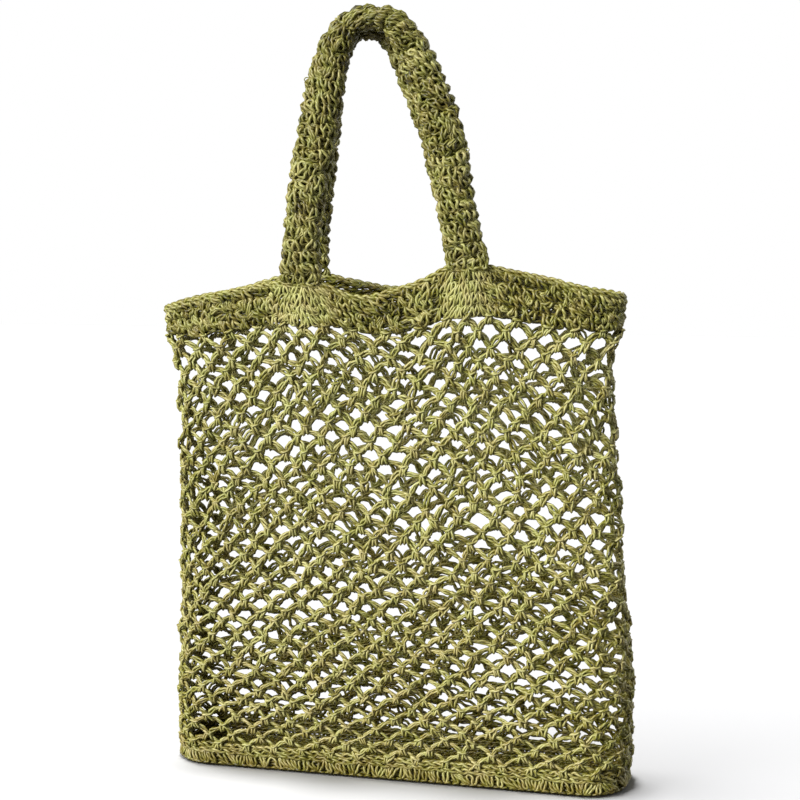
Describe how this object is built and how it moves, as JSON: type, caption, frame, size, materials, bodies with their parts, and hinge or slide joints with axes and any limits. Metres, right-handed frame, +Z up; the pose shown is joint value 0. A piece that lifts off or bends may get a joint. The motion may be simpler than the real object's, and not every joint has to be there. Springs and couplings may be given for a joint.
{
  "type": "straw tote bag",
  "caption": "Open-topped tote bag crocheted from olive green paper straw twine: loose diamond net body, dense band round the mouth, dense base and soft tubular carrying handles.",
  "frame": {"origin": "on the floor, on the flat underside of the base, under the middle of the base", "axes": "+X along the bag's width, to the right as seen from the front; -Y towards the front; +Z up"},
  "size_m": [0.4165, 0.1152, 0.6716],
  "materials": {
    "straw_net": "twisted paper straw twine, loose chain-loop net, matt",
    "straw_dense": "twisted paper straw twine, dense single crochet, matt",
    "straw_handle": "twisted paper straw twine, dense crochet tube, matt"
  },
  "bodies": {
    "root": {"net_body": "straw_net", "top_band": "straw_dense", "base_panel": "straw_dense", "front_handle": "straw_handle", "back_handle": "straw_handle"}
  },
  "joints": []
}
